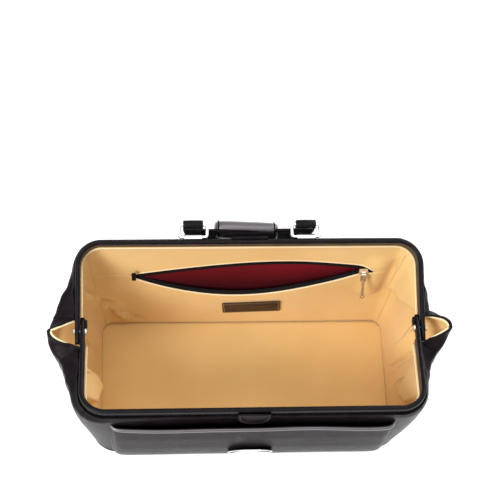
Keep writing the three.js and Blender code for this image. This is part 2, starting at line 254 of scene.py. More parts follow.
class Shader:
    """A principled material whose inputs are set or wired up one at a time."""

    def __init__(self, name, roughness=0.5, metallic=0.0):
        self.material = bpy.data.materials.new(name)
        self.material.use_nodes = True
        self.tree = self.material.node_tree
        self.surface = self.tree.nodes["Principled BSDF"]
        self.set("Roughness", roughness)
        self.set("Metallic", metallic)
        self.place = self.node("ShaderNodeTexCoord", {}, "Object")
        self.normal = None

    def wire(self, target, value):
        if isinstance(value, bpy.types.NodeSocket):
            self.tree.links.new(value, target)
        else:
            target.default_value = value

    def set(self, name, value):
        self.wire(self.surface.inputs[name], value)

    def node(self, kind, inputs, output, **values):
        """Adds a node with its inputs set or wired by name, and gives one of its outputs."""
        node = self.tree.nodes.new(kind)
        for name, value in values.items():
            setattr(node, name, value)
        for name, value in inputs.items():
            self.wire(node.inputs[name], value)
        return node.outputs[output]

    def stretched(self, scale, turn=(0, 0, 0)):
        inputs = {"Scale": scale, "Rotation": turn, "Vector": self.place}
        return self.node("ShaderNodeMapping", inputs, "Vector")

    def noise(self, scale, detail=3, place=None):
        inputs = {"Scale": scale, "Detail": detail, "Vector": place or self.place}
        return self.node("ShaderNodeTexNoise", inputs, "Fac")

    def cells(self, scale):
        inputs = {"Scale": scale, "Vector": self.place}
        return self.node("ShaderNodeTexVoronoi", inputs, "Distance", feature="DISTANCE_TO_EDGE")

    def waves(self, scale, place, distortion=0.0):
        inputs = {"Scale": scale, "Distortion": distortion, "Vector": place}
        return self.node("ShaderNodeTexWave", inputs, "Fac", wave_profile="SIN")

    def height_above(self):
        return self.node("ShaderNodeSeparateXYZ", {"Vector": self.place}, "Z")

    def spread(self, factor, low, high, start=0, end=1):
        inputs = {"Value": factor, "From Min": start, "From Max": end, "To Min": low, "To Max": high}
        return self.node("ShaderNodeMapRange", inputs, "Result")

    def ramp(self, factor, stops):
        node = self.tree.nodes.new("ShaderNodeValToRGB")
        for element, (position, colour) in zip(node.color_ramp.elements, stops):
            element.position = position
            element.color = (*colour, 1)
        self.wire(node.inputs["Fac"], factor)
        return node.outputs["Color"]

    def multiply(self, a, b):
        inputs = {"Factor": 1, "A": a, "B": b}
        return self.node("ShaderNodeMix", inputs, "Result", data_type="RGBA", blend_type="MULTIPLY")

    def bump(self, height, distance, strength=1.0):
        """Adds relief on top of any relief before it."""
        inputs = {"Height": height, "Distance": distance, "Strength": strength}
        if self.normal is not None:
            inputs["Normal"] = self.normal
        self.normal = self.node("ShaderNodeBump", inputs, "Normal")
        self.set("Normal", self.normal)

    def colour(self, output):
        self.set("Base Color", output)


def leather_material(name, dark, light, roughness, grain=0.25, cell=850, shine=0.1, coat=0.0):
    """Grained leather; grain is the depth of its cells in millimetres and cell is how many a metre."""
    shader = Shader(name, roughness)
    mottle = shader.noise(60, 5)
    shader.colour(shader.ramp(mottle, [(0.3, dark), (0.7, light)]))
    shader.set("Roughness", shader.spread(shader.noise(140, 4), roughness - 0.08, roughness + 0.1))
    shader.bump(shader.noise(45, 4), 0.9 * mm, 0.35)
    shader.bump(shader.cells(cell), grain * mm, 0.7)
    shader.bump(shader.noise(2600, 2), 0.05 * mm, 0.6)
    shader.set("Specular IOR Level", shine)
    shader.set("Specular Tint", (1.0, 0.90, 0.97, 1))
    shader.set("Coat Weight", coat)
    shader.set("Coat Roughness", 0.3)
    return shader.material


def twill_material(name, dark, light, fold=0.35, sheen=0.2, painted_shade_heights=None):
    """Twill cloth; a pair of heights, when given, darkens its colour downwards between them as painted
    shade.
    """
    shader = Shader(name, 0.88)
    diagonal = shader.stretched((1, 1, 1), (0.6, 0.7, 0.5))
    weave = shader.waves(420, diagonal, 0.6)
    cross = shader.waves(260, shader.stretched((1, 1, 1), (-0.5, 0.4, -0.8)), 0.4)
    tone = shader.ramp(shader.noise(9, 5), [(0.3, dark), (0.7, light)])
    thread = shader.ramp(weave, [(0.0, (0.9, 0.89, 0.87)), (1.0, (1, 1, 1))])
    tone = shader.multiply(tone, thread)
    # Painted shade: the colour darkens towards the lower of the two heights, to a quarter at the bottom.
    if painted_shade_heights:
        depth = shader.spread(shader.height_above(), 0, 1, *painted_shade_heights)
        tone = shader.multiply(tone, shader.ramp(depth, [(0.0, (0.25, 0.22, 0.25)), (1.0, (1, 1, 1))]))
    shader.colour(tone)
    shader.bump(shader.noise(28, 4), 1.6 * mm, fold)
    shader.bump(weave, 0.10 * mm, 0.5)
    shader.bump(cross, 0.06 * mm, 0.4)
    shader.set("Specular IOR Level", 0.15)
    shader.set("Sheen Weight", sheen)
    shader.set("Sheen Roughness", 0.5)
    return shader.material


def metal_material(name, colour, roughness, scratch):
    """Brushed metal; scratch is the depth of its brush lines in millimetres."""
    shader = Shader(name, roughness, 1.0)
    brushed = shader.noise(700, 3, shader.stretched((0.08, 1, 1)))
    tint = tuple(0.86 * c for c in colour)
    shader.colour(shader.ramp(shader.noise(90, 3), [(0.35, tint), (0.65, colour)]))
    shader.set("Roughness", shader.spread(brushed, roughness * 0.7, roughness * 1.5))
    shader.bump(brushed, scratch * mm, 0.4)
    return shader.material


def board_material(name):
    shader = Shader(name, 0.9)
    fibres = shader.noise(500, 5, shader.stretched((0.15, 1, 1)))
    shader.colour(shader.ramp(fibres, [(0.3, (0.2, 0.14, 0.09)), (0.7, (0.36, 0.27, 0.18))]))
    shader.bump(fibres, 0.15 * mm, 0.6)
    return shader.material


def thread_material(name, colour):
    shader = Shader(name, 0.6)
    twist = shader.waves(1500, shader.stretched((1, 1, 1), (0.3, 0.3, 0.8)))
    dark = tuple(0.55 * c for c in colour)
    shader.colour(shader.ramp(twist, [(0.2, dark), (0.8, colour)]))
    shader.bump(twist, 0.08 * mm, 0.5)
    return shader.material


black = leather_material("black_leather", (0.006, 0.0042, 0.0052), (0.013, 0.0095, 0.0115), 0.32,
                         shine=0.045)
smooth_black = leather_material("edge_leather", (0.002, 0.0018, 0.0021), (0.005, 0.0045, 0.005), 0.28,
                                grain=0.12, cell=1300, shine=0.12)
facing_brown = leather_material("facing_leather", (0.055, 0.042, 0.032), (0.095, 0.075, 0.058), 0.55,
                                grain=0.15, cell=1200)
label_brown = leather_material("label_leather", (0.035, 0.020, 0.012), (0.065, 0.040, 0.025), 0.5,
                               grain=0.15, cell=1200)
# Glossy leather for the grip and the pocket lip: its shine and coat are real gloss, and its base colour,
# about twice as light as black, is a painted highlight.
gloss_and_highlight_black = leather_material("grip_leather", (0.014, 0.012, 0.014), (0.024, 0.021, 0.025), 0.33,
                              shine=1.0, coat=1.0)
beige = twill_material("lining", (0.75, 0.50, 0.20), (0.85, 0.59, 0.27))
# A paler copy of the lining for its hems and the zip welts: a pale edge cloth, lightened further as a
# painted highlight along those edges.
pale_edge_and_highlight = twill_material("lining_edge", (0.86, 0.68, 0.42), (0.92, 0.76, 0.52), 0.1)
# The red lining carries painted shade, darkening from 0.150 m down to 0.098 m towards the bottom of the
# pouch.
burgundy = twill_material("red_lining", (0.16, 0.003, 0.011), (0.26, 0.005, 0.018), 0.5, 0, (0.098, 0.150))
nickel = metal_material("nickel", (0.84, 0.83, 0.81), 0.16, 0.03)
millboard = board_material("millboard")
black_thread = thread_material("black_thread", (0.05, 0.045, 0.048))
gold_thread = thread_material("gold_thread", (0.62, 0.42, 0.20))
tape = twill_material("zip_tape", (0.004, 0.004, 0.0045), (0.008, 0.0075, 0.0085), 0.2, 0)

slot_materials = {
    "black_leather": (black, smooth_black, gloss_and_highlight_black, black_thread, tape),
    "label_leather": (facing_brown, label_brown, gold_thread),
    "lining": (beige, pale_edge_and_highlight),
    "red_lining": (burgundy,),
    "nickel": (nickel,),
}
slot_of = {material.name: slot for slot, group in slot_materials.items() for material in group}

# ---- how pieces are placed with their parts ----


def piece(obj, stands_for=()):
    """Hides the CAD nodes that a piece stands for."""
    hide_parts(*stands_for)
    return obj


def ride(obj, body, stands_for=()):
    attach(piece(obj, stands_for), body)


def follow(obj, stands_for=()):
    """Hides the CAD nodes a soft piece stands for and bakes its place into its mesh."""
    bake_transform(piece(obj, stands_for))


jaw_on = {1: rear_jaw, -1: front_jaw}

# ---- the shell: leather outside, lining inside ----

# Every row of the shell has these steps from an ear's tip to the middle of the bar.
mouth_steps, arm_steps, corner_steps, bar_steps = 16, 26, 12, 34
columns_per_side = mouth_steps + arm_steps + corner_steps + bar_steps
quarter_turn = np.linspace(0, math.pi / 2, corner_steps, endpoint=False)
arm_start = {1: 14 * mm, -1: 17 * mm}


def quarter_rim(jaw, end, out, lift, ear_bow, ear_lift, inward=0.0):
    """From an ear's tip along its mouth, the arm, the corner and half the cross bar."""
    start = arm_start[jaw.side]
    side_x = jaw.half + out
    radius = corner_radius + out
    straight = jaw.reach - corner_radius
    tip = np.array([end * (tip_x - inward), jaw.side * 0.5 * mm, hinge_height + 2 * mm + ear_lift])
    foot = jaw.at(end * side_x, start, lift)
    share = np.linspace(0, 1, mouth_steps, endpoint=False)[:, None]
    bow = np.array([0.5 * end, jaw.side, 0]) * ear_bow
    mouth = tip * (1 - share) + foot * share + bow * np.sin(math.pi * share ** 0.6)
    arm = jaw.at(end * side_x, np.linspace(start, straight, arm_steps, endpoint=False), lift)
    corner = jaw.at(end * (side_x - radius + radius * np.cos(quarter_turn)),
                    straight + radius * np.sin(quarter_turn), lift)
    across = np.linspace(side_x - radius, 0, bar_steps + 1)
    bar = jaw.at(end * across, straight + radius, lift)
    return np.concatenate([mouth, arm, corner, bar])


def quarter_base(side, end, inset, height, radius=None):
    """The same run of places round a quarter of the base."""
    half_length = base_high.x - inset
    half_depth = base_high.y - inset
    radius = radius or corner_radius - inset
    ear = 22 * mm
    parts = [
        [(half_length, y) for y in np.linspace(0, ear, mouth_steps, endpoint=False)],
        [(half_length, y) for y in np.linspace(ear, half_depth - radius, arm_steps, endpoint=False)],
        [(half_length - radius + radius * math.cos(a), half_depth - radius + radius * math.sin(a))
         for a in quarter_turn],
        [(x, half_depth) for x in np.linspace(half_length - radius, 0, bar_steps + 1)],
    ]
    flat = np.array([p for part in parts for p in part])
    return np.stack([end * flat[:, 0], side * flat[:, 1], np.full(len(flat), height)], axis=1)


def both_ends(quarter):
    """Joins the left and right quarters into one run from the left ear's tip to the right one's."""
    left, right = quarter(-1), quarter(1)
    return np.concatenate([left, right[::-1][1:]])


def base_run(side, inset, height, radius=None):
    return both_ends(lambda end: quarter_base(side, end, inset, height, radius))


def rim_run(side, out, lift, bow_share, ear_lift, inward=0.0):
    jaw, bows = jaw_on[side], ear_bows[side]
    return both_ends(lambda end: quarter_rim(jaw, end, out, lift, bows[end] * bow_share, ear_lift, inward))


def spread_keys(left, right):
    """Values at the tip, arm start, a third, two thirds and end of the arm, corner end, bar middle."""
    stops = np.cumsum([0, mouth_steps, *[arm_steps / 3] * 3, corner_steps, bar_steps])
    places = np.arange(columns_per_side + 1)
    runs = [np.interp(places, stops, values) * mm for values in (left, right)]
    kernel = np.array([1, 2, 3, 2, 1]) / 9
    runs = [np.convolve(np.pad(run, 2, "edge"), kernel, "valid") for run in runs]
    return np.concatenate([runs[0], runs[1][::-1][1:]])


def outward_of(low, rim):
    """Level directions that point out of the bag all round."""
    middle = 0.4 * low + 0.6 * rim
    tangent = np.gradient(middle[:, :2], axis=0)
    normal = np.stack([tangent[:, 1], -tangent[:, 0]], axis=1)
    away = middle[:, :2] * [1, 1.5]
    normal *= np.sign(np.sum(normal * away, axis=1, keepdims=True))
    places = np.arange(len(low))
    at_tip = smooth(12, 0, np.minimum(places, places[::-1]))[:, None]
    straight = np.stack([np.sign(middle[:, 0]), np.zeros(len(low))], axis=1)
    normal = unit(unit(normal) * (1 - at_tip) + straight * at_tip)
    return np.concatenate([normal, np.zeros((len(low), 1))], axis=1)


heights = np.concatenate([np.linspace(0, 0.76, 15, endpoint=False), np.linspace(0.76, 1, 31)])


def loft(low, rim, belly, shoulder, t=None):
    """Rows from the base to the rim: belly swells the middle and shoulder swells just under the rim."""
    t = (heights[:, None] if t is None else t)[:, :, None]
    outward = outward_of(low, rim)[None]
    swell = belly[None, :, None] * np.sin(math.pi * t) ** 0.8
    top = shoulder[None, :, None] * smooth(0.25, 0.93, t) * smooth(1.0, 0.94, t)
    return low[None] * (1 - t) + rim[None] * t + outward * (swell + top)


def pleats(count, start, depth, phase, reach):
    """Upright folds, deepest near the rim, over a run of columns from the ear's tip."""
    columns = np.arange(count)
    window = smooth(start[0], start[0] + 6, columns) * smooth(start[1], start[1] - 8, columns)
    wave = np.sin(columns * 0.42 + phase) + 0.4 * np.sin(columns * 0.97 + 2 * phase)
    return depth * window[None] * wave[None] * smooth(reach, 0.95, heights)[:, None]


panel_start = mouth_steps + arm_steps + corner_steps // 2
total_columns = 2 * columns_per_side + 1

shoulder_keys = {
    1: ([0, 24, 17, 8, 2, 2, 2], [0, 9, 5, 2, 1, 2, 2]),
    -1: ([0, 22, 17, 11, 7, 2, -3], [0, 18, 10, 4, 2, 1, -3]),
}
belly_keys = {
    1: ([4, 6, 6, 6, 5, 3, 5], [4, 5, 5, 5, 4, 3, 5]),
    -1: ([4, 8, 8, 7, 5, 1, 0], [4, 6, 6, 6, 5, 1, 0]),
}
ear_bows = {1: {-1: 0.5 * mm, 1: 6 * mm}, -1: {-1: 5 * mm, 1: 1.5 * mm}}


def leather_surface(side):
    rim = rim_run(side, 0.6 * mm, -0.38 * jaw_on[side].height, 1, 0)
    low = base_run(side, 0.5 * mm, base_low.z + 3 * mm)
    surface = loft(low, rim, spread_keys(*belly_keys[side]), spread_keys(*shoulder_keys[side]))
    folds = pleats(columns_per_side + 1, (6, 40), 0.8 * mm, 1.1 + side, 0.3)
    folds = np.concatenate([folds, folds[:, ::-1][:, 1:]], axis=1)
    return surface + outward_of(low, rim)[None] * folds[:, :, None]


def wall_profile(side):
    """Heights and depths up the middle of the front or back leather."""
    middle = leather_surface(side)[:, total_columns // 2]
    return middle[:, 2], middle[:, 1]


def build_leather():
    """Each half shell is three sewn pieces, an ear at each end and a panel, with piping between."""
    for side, word in sides.items():
        surface = leather_surface(side)
        wall = {1: "back_panel", -1: "front_panel"}[side]
        gussets = {1: (["left_gusset"], ["right_gusset"]), -1: ((), ())}[side]
        parts = {
            f"left_gusset_{word}": (surface[:, :panel_start + 1], gussets[0]),
            f"{word}_leather": (surface[:, panel_start:-panel_start], [wall]),
            f"right_gusset_{word}": (surface[:, -panel_start - 1:], gussets[1]),
        }
        for name, (points, stands_for) in parts.items():
            follow(thicken(grid(name, points, black), hide_thickness, offset=-side), stands_for)
        outward = outward_of(surface[0], surface[-1])
        for end, column in (("left", panel_start), ("right", total_columns - 1 - panel_start)):
            line = surface[:, column] + outward[column] * 0.4 * mm
            follow(tube(f"{end}_{word}_piping", line[1:-3], piping_radius, smooth_black))


def build_gusset_seams():
    """A welt closes the two halves of each gusset down the middle of the bag's end."""
    halves = leather_surface(1), leather_surface(-1)
    for column, word in ((0, "left"), (-1, "right")):
        line = sum(half[:, column] for half in halves) / 2
        ride(tube(f"{word}_gusset_seam", line[1:], 1.7 * mm, smooth_black), "bag")


build_leather()
build_gusset_seams()

facing_drop = 5 * mm             # how far the leather facing runs on below a jaw's strip

# Grooves and swells of the lining, in millimetres: the two ends of the line each follows, its
# width, and its depth, which is below 0 where the cloth swells into the bag.
lining_folds = [
    ((-185, 71, 121), (-175, 75, 89), 3.0, 6.0),
    ((-181, 66, 110), (-172, 70, 78), 8.0, -8.0),
    ((-164, 81, 65), (-123, 78, 22), 3.0, 6.0),
    ((-163, 80, 59), (-145, 77, 25), 2.5, 4.0),
    ((-152, 80, 50), (-138, 78, 30), 7.0, -8.0),
    ((168, 88, 150), (158, 82, 90), 7.0, 3.5),
    ((148, 88, 150), (144, 84, 95), 12.0, -9.0),
    ((135, 88, 143), (150, 86, 143), 60.0, -5.0),
    ((190, 6, 77), (171, 7, 24), 2.2, 5.0),
    ((-183, 20, 110), (-176, 22, 40), 7.0, 2.5),
    ((-178, 34, 120), (-172, 40, 40), 9.0, -5.0),
    ((-90, -80, 120), (90, -80, 110), 22.0, -2.5),
]

# Where the lining hangs over inside the frame: wall, end, places along the rim from the ear's
# tip, how far up the wall the hanging part's lower edge is at each, and its depth in millimetres.
lining_lobes = [
    (1, 1, (8, 18, 34, 49, 52), (1.0, 0.94, 0.68, 0.55, 1.2), 17),
    (-1, -1, (4, 12, 18, 33, 46), (1.0, 0.5, 0.3, 0.45, 1.2), 15),
    (-1, 1, (12, 20, 30, 40, 48), (1.1, 0.62, 0.45, 0.6, 1.2), 12),
]


def distance_to_line(points, start, end):
    start, end = np.array(start) * mm, np.array(end) * mm
    along = end - start
    share = np.clip((points - start) @ along / (along @ along), 0, 1)
    return np.linalg.norm(points - start - share[..., None] * along, axis=-1)


def fold_lining(side, points, outward, t):
    """Pushes the lining in and out along its folds, and holds it at the rim and the floor."""
    hold = smooth(1.0, 0.94, t) * smooth(0.0, 0.12, t)
    move = np.zeros(points.shape[:2])
    columns = np.arange(total_columns)
    for wall, end, places, edge, depth in lining_lobes:
        if wall == side:
            from_tip = columns if end < 0 else columns[::-1]
            line = np.interp(from_tip, places, edge)
            move -= depth * mm * smooth(line - 0.02, line + 0.035, t) * (1 - np.clip(t, 0, 1)) ** 0.4
    for start, end, width, depth in lining_folds:
        near = distance_to_line(points, start, end) / (width * mm)
        move += depth * mm * np.exp(-near ** 2)
    return points + outward * (move * hold)[..., None]


zip_low, zip_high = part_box("zip_edge_upper")
slider_low, slider_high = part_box("zip_slider")
slider_z = (slider_low.z + slider_high.z) / 2
slide = Vector(joints["zip_slide"]["axis"])
zip_end = {-1: zip_low.x, 1: zip_high.x - 4 * mm}
zip_height = {-1: slider_z + slide.z / slide.x * (zip_low.x - zip_high.x), 1: slider_z}
zip_rise, zip_sag, zip_forward = 13 * mm, 42 * mm, 8 * mm


def zip_share(x):
    return np.clip((x - zip_end[-1]) / (zip_end[1] - zip_end[-1]), 0, 1)


def zip_line(x, opening):
    """Height of the zip at x: opening is +1 for its upper edge and -1 for its lower one."""
    share = zip_share(x)
    level = zip_height[-1] + (zip_height[1] - zip_height[-1]) * share
    if opening > 0:
        return level + zip_rise * np.sin(math.pi * share ** 1.15) ** 0.8
    return level - zip_sag * np.sin(math.pi * share) ** 0.85


def lining_parts(side):
    lift = -jaw_on[side].height / 2 - facing_drop + 1 * mm
    rim = rim_run(side, -strip - 0.5 * mm, lift, 0.8, -1 * mm, 3 * mm)
    low = base_run(side, 8 * mm, floor_high.z + 0.5 * mm, 14 * mm)
    belly = spread_keys(*belly_keys[side]) * 0.5
    shoulder = spread_keys(*shoulder_keys[side]) * 0.9 + 1.5 * mm
    return low, rim, belly, shoulder


def lining_surface(side, t=None):
    low, rim, belly, shoulder = lining_parts(side)
    t = np.linspace(0, 1, 56)[:, None] if t is None else t
    t = np.broadcast_to(t, (len(t), len(low)))
    return fold_lining(side, loft(low, rim, belly, shoulder, t), outward_of(low, rim)[None], t)


def lining_height_share(z):
    """How far up the back lining a height is, column by column."""
    low, rim = lining_parts(1)[:2]
    return (z - low[:, 2]) / (rim[:, 2] - low[:, 2])


def back_lining_halves():
    """The back lining above and below the open zip; the lower one sags away from the wall."""
    low, rim = lining_parts(1)[:2]
    x = 0.3 * low[:, 0] + 0.7 * rim[:, 0]
    upper_edge = lining_height_share(zip_line(x, 1))
    lower_edge = lining_height_share(zip_line(x, -1))
    rows = np.linspace(0, 1, 36)[:, None]
    open_share = np.sin(math.pi * zip_share(x)) ** 0.8
    lap = 0.006 * (1 - smooth(0.0, 0.15, open_share))
    upper = lining_surface(1, upper_edge - lap + (1 - upper_edge + lap) * rows)
    lower = lining_surface(1, (lower_edge + lap) * rows)
    sag = zip_forward * open_share[None] * smooth(0.1, 1.0, rows)
    lower[:, :, 1] -= sag
    return upper, lower


def build_lining():
    """The lining in the same pieces as the leather, with its back panel parted at the zip."""
    for side, word in sides.items():
        surface = lining_surface(side)
        ears = {1: (["left_lining"], ["right_lining"]), -1: ((), ())}[side]
        parts = {
            f"left_lining_{word}": (surface[:, :panel_start + 2], ears[0]),
            f"right_lining_{word}": (surface[:, -panel_start - 2:], ears[1]),
        }
        if side < 0:
            parts["front_lining_panel"] = (surface[:, panel_start:-panel_start], ["front_lining"])
        else:
            upper, lower = back_lining_halves()
            parts["back_lining_upper"] = (upper[:, panel_start:-panel_start], ["back_lining"])
            parts["back_lining_lower"] = (lower[:, panel_start:-panel_start], [])
        for name, (points, stands_for) in parts.items():
            follow(thicken(grid(name, points, beige), cloth_thickness, offset=side), stands_for)


build_lining()

# ---- jaws ----


def jaw_line(jaw, inset, r_start):
    """The middle line of a jaw's strip with its outward directions."""
    half, reach = jaw.half - inset, jaw.reach - inset
    radius = corner_radius - inset
    arm = np.linspace(r_start, reach - radius, 20, endpoint=False)
    across = np.linspace(half - radius, 0, 30, endpoint=False)
    corner = [(half - radius + radius * math.cos(a), reach - radius + radius * math.sin(a))
              for a in quarter_turn]
    right = np.array([*[(half, r) for r in arm], *corner, *[(x, reach) for x in across], (0, reach)])
    flat = np.concatenate([right, right[::-1][1:] * [-1, 1]])
    tangent = np.gradient(flat, axis=0)
    return flat, unit(np.stack([tangent[:, 1], -tangent[:, 0]], 1))


def jaw_strip(name, jaw, inset, width, bottom, top, radius, material, r_start):
    """A strip round a jaw between two heights over its plane."""
    flat, normal = jaw_line(jaw, inset, r_start)
    path = jaw.at(*flat.T, (bottom + top) / 2)
    outwards = jaw.at(*(flat + normal).T, (bottom + top) / 2) - path
    upwards = jaw.at(0, 0, 1) - jaw.at(0, 0, 0)
    return sweep(name, path, rounded_section(width, top - bottom, radius), outwards, upwards, material)


def jaw_cord(name, jaw, inset, r_start, w, radius, material):
    """A cord round a jaw at one height over its plane."""
    flat = jaw_line(jaw, inset, r_start)[0]
    return tube(name, jaw.at(*flat.T, w), radius, material)


def build_jaws():
    """Each jaw's leather wrap, the welt on the shell, the brown facing inside and the lining's hem."""
    for side, jaw in jaw_on.items():
        word, body = sides[side], f"{sides[side]}_jaw"
        half, root = jaw.height / 2, arm_start[side]
        wrap = jaw_strip(f"{word}_jaw_leather", jaw, strip / 2, strip, -half, half, 1.8 * mm,
                         smooth_black, -tail)
        ride(wrap, body, [f"{word}_frame_cover", f"{word}_frame"])
        ride(jaw_cord(f"{word}_jaw_welt", jaw, 0.2 * mm, root + 2 * mm, -half - 0.6 * mm, 1.3 * mm,
                      smooth_black), body)
        edge = -half - facing_drop
        ride(jaw_strip(f"{word}_jaw_facing", jaw, strip + 0.1 * mm, 0.6 * mm, edge, half - 1.6 * mm,
                       0.4 * mm, facing_brown, root - 6 * mm), body)
        ride(jaw_cord(f"{word}_lining_hem", jaw, strip + 1.6 * mm, root - 4 * mm, edge - 0.4 * mm,
                      1.1 * mm, pale_edge_and_highlight), body)


def build_lugs():
    """A rounded leather lug inside each front arm, over the hinge."""
    steps = np.linspace(-1, 1, 11)
    swell = np.sqrt(1 - 0.8 * steps ** 4)[:, None]
    upwards = front_jaw.at(0, 0, 1) - front_jaw.at(0, 0, 0)
    for end, word in ends.items():
        path = front_jaw.at(end * (front_jaw.half - strip - 1.2 * mm), -8 * mm + 5.5 * mm * steps, 0)
        lug = sweep(f"front_lug_{word}", path, rounded_section(2.6 * mm, 8 * mm, 1.2 * mm),
                    np.array([1, 0, 0]) * swell, upwards * swell, smooth_black)
        ride(lug, "front_jaw")


build_jaws()
build_lugs()

# ---- base ----


def base_ring(inset, height):
    """A closed loop round the base."""
    back, front = (base_run(side, inset, height) for side in (1, -1))
    return np.concatenate([back[:-1], front[::-1][:-1]])


def build_base():
    """The leather tray under the bag, with its piping and stitches."""
    z = base_low.z
    # Each ring's inset and height, from under the base out to its edge and up.
    rings = [base_ring(inset * mm, z + rise * mm) for inset, rise in
             [(24, 0), (12, 0), (4, 0), (1.2, 0.5), (0.2, 1.6), (0, 3.2), (0.2, 4.6)]]
    points = np.stack(rings)
    rows, columns = points.shape[:2]
    faces = grid_faces(rows, columns, wrap_columns=True) + [tuple(range(columns))]
    tray = mesh_object("base_leather", points.reshape(-1, 3), faces, black)
    ride(thicken(tray, 1.2 * mm), "bag", ["base_panel"])
    edge = base_ring(-0.6 * mm, z + 4.2 * mm)
    ride(tube("base_piping", edge, piping_radius, smooth_black, closed=True), "bag")
    line = base_ring(-0.2 * mm, z + 8.2 * mm)
    ride(stitches("base_stitches", line, (0, 0, 1), black_thread), "bag")


def build_floor_lining():
    """The lining over the base board, padded a little towards its middle."""
    back, front = (base_run(side, 7.5 * mm, floor_high.z, 13 * mm) for side in (1, -1))
    share = np.linspace(0, 1, 30)[:, None, None]
    points = front[None] * (1 - share) + back[None] * share
    x, y = points[:, :, 0], points[:, :, 1]
    edge = np.maximum(np.abs(x) / base_high.x, np.abs(y) / base_high.y)
    soft = smooth(0.95, 0.6, edge)
    points[:, :, 2] += soft * (1.0 * mm + 0.5 * mm * np.sin(x * 31 + y * 12) * np.cos(y * 43))
    ride(thicken(grid("floor_lining", points, beige), cloth_thickness), "bag", ["base_lining"])


build_base()
build_floor_lining()

# ---- flat leather patches ----


def inset_outline(outline, distance):
    """Moves a closed anticlockwise outline inwards."""
    ahead = np.roll(outline, -1, axis=0) - outline
    behind = outline - np.roll(outline, 1, axis=0)
    tangent = unit(unit(ahead) + unit(behind))
    return outline + distance * np.stack([-tangent[:, 1], tangent[:, 0]], axis=1)


def patch(name, outline, place, thickness, material, groove=2.4 * mm):
    """A cut leather shape with rounded edges and a sewn groove; place maps flat points to the bag."""
    profile = [(0.5, 0), (0, 0.3), (0, 0.6), (0.25, 0.9), (0.7, 1)]
    rings = [(inset * mm, share * thickness) for inset, share in profile]
    rings += [(groove + step * mm, thickness - dip * mm) for step, dip in ((-0.5, 0), (0, 0.3), (0.5, 0))]
    points = [place(np.column_stack([inset_outline(outline, inset), np.full(len(outline), height)]))
              for inset, height in rings]
    return skin(name, np.stack(points), material)


def patch_stitches(name, outline, place, thickness, material, groove=2.4 * mm, spacing=3.0 * mm):
    """Stitches along a patch's groove."""
    ring = inset_outline(outline, groove)
    ring = np.vstack([ring, ring[:1]])
    flat = np.column_stack([ring, np.full(len(ring), thickness)])
    path = place(flat)
    above = place(flat + [0, 0, 1 * mm])
    normal = unit(np.mean(above - path, axis=0))
    return stitches(name, path, normal, material, spacing, 2.0 * mm, 0.6 * mm)


def plane(origin, across, up):
    """Maps flat (across, up, out) points to the bag's frame."""
    across, up = np.asarray(across, float), np.asarray(up, float)
    out = np.cross(across, up)

    def place(points):
        return np.asarray(origin) + points[:, :1] * across + points[:, 1:2] * up + points[:, 2:] * out
    return place


def build_tab():
    """The half-round tab on the front bar."""
    low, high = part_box("front_tab")
    radius = (high.x - low.x) / 2
    straight = high.z - low.z - radius
    outline = [(radius * math.cos(a), radius * math.sin(a)) for a in np.linspace(math.pi, 2 * math.pi, 15)]
    outline += [(radius, straight * k / 3) for k in (1, 2, 3)]
    outline += [(radius * x, straight) for x in (0.5, 0, -0.5, -1)]
    outline += [(-radius, straight * k / 3) for k in (2, 1)]
    place = plane((0, high.y, low.z + radius), (1, 0, 0), (0, 0, 1))
    shape = np.array(outline), place, high.y - low.y
    ride(patch("front_tab_leather", *shape, black), "front_jaw", ["front_tab"])
    ride(patch_stitches("front_tab_stitches", *shape, black_thread), "front_jaw")


build_tab()

# ---- front pocket ----

pocket_low, pocket_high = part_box("front_pocket")
front_profile = wall_profile(-1)


def pocket_point(x, z):
    """The pocket bellies out between its sewn sides and bottom and stands open at its lip."""
    half = pocket_high.x
    up = (z - pocket_low.z) / (pocket_high.z - pocket_low.z)
    side_share = 1 - np.abs(x / half) ** 40
    fullness = np.interp(up, [0, 0.05, 0.2, 0.4, 0.55, 0.8, 1], [0.05, 0.3, 0.62, 0.86, 0.96, 1, 0.93])
    ripple = 0.5 * mm * np.sin(x * 52 + 1) * up * side_share
    wall = np.interp(z, *front_profile) - 0.6 * mm
    return wall + (pocket_low.y - wall) * fullness * side_share ** 0.6 - ripple


def build_pocket():
    """A sewn pocket with a rolled lip that dips a little in the middle."""
    sag, forward = 1.2 * mm, (0, -1, 0)

    def place(x, z):
        dip = sag * (1 - (x / pocket_high.x) ** 2) * (z / pocket_high.z) ** 4
        return x, pocket_point(x, z), z - dip

    xs = pocket_high.x * np.sin(np.linspace(-math.pi / 2, math.pi / 2, 121))
    zs = np.linspace(pocket_low.z, pocket_high.z + 1 * mm, 34)
    points = np.array([[place(x, z) for x in xs] for z in zs])
    ride(thicken(grid("pocket_leather", points, black), hide_thickness, offset=-1), "bag", ["front_pocket"])

    path = points[-1] + [0, 0.2 * mm, 1.6 * mm]
    path[:, 1] += 0.7 * mm * np.sin(path[:, 0] * 34 + 0.6)
    roll = rounded_section(4.6 * mm, 4.6 * mm, 2.2 * mm, 4)
    # The lip roll's leather has a lighter base colour that is a painted highlight.
    ride(sweep("pocket_lip_roll", path, roll, (0, 1, 0), (0, 0, 1), gloss_and_highlight_black), "bag", ["pocket_lip"])

    for word, edge, row in (("left", 2, 6), ("right", -3, -7)):
        line = points[:, edge] + [0, -0.4 * mm, 0]
        ride(tube(f"pocket_{word}_piping", line, 1.2 * mm, smooth_black), "bag")
        line = points[1:, row] + [0, -0.25 * mm, 0]
        ride(stitches(f"pocket_{word}_stitches", line, forward, black_thread), "bag")
    line = points[-3][3:-3] + [0, -0.3 * mm, 0]
    ride(stitches("pocket_hem_stitches", line, forward, black_thread), "bag")


build_pocket()

# ---- zip pocket ----


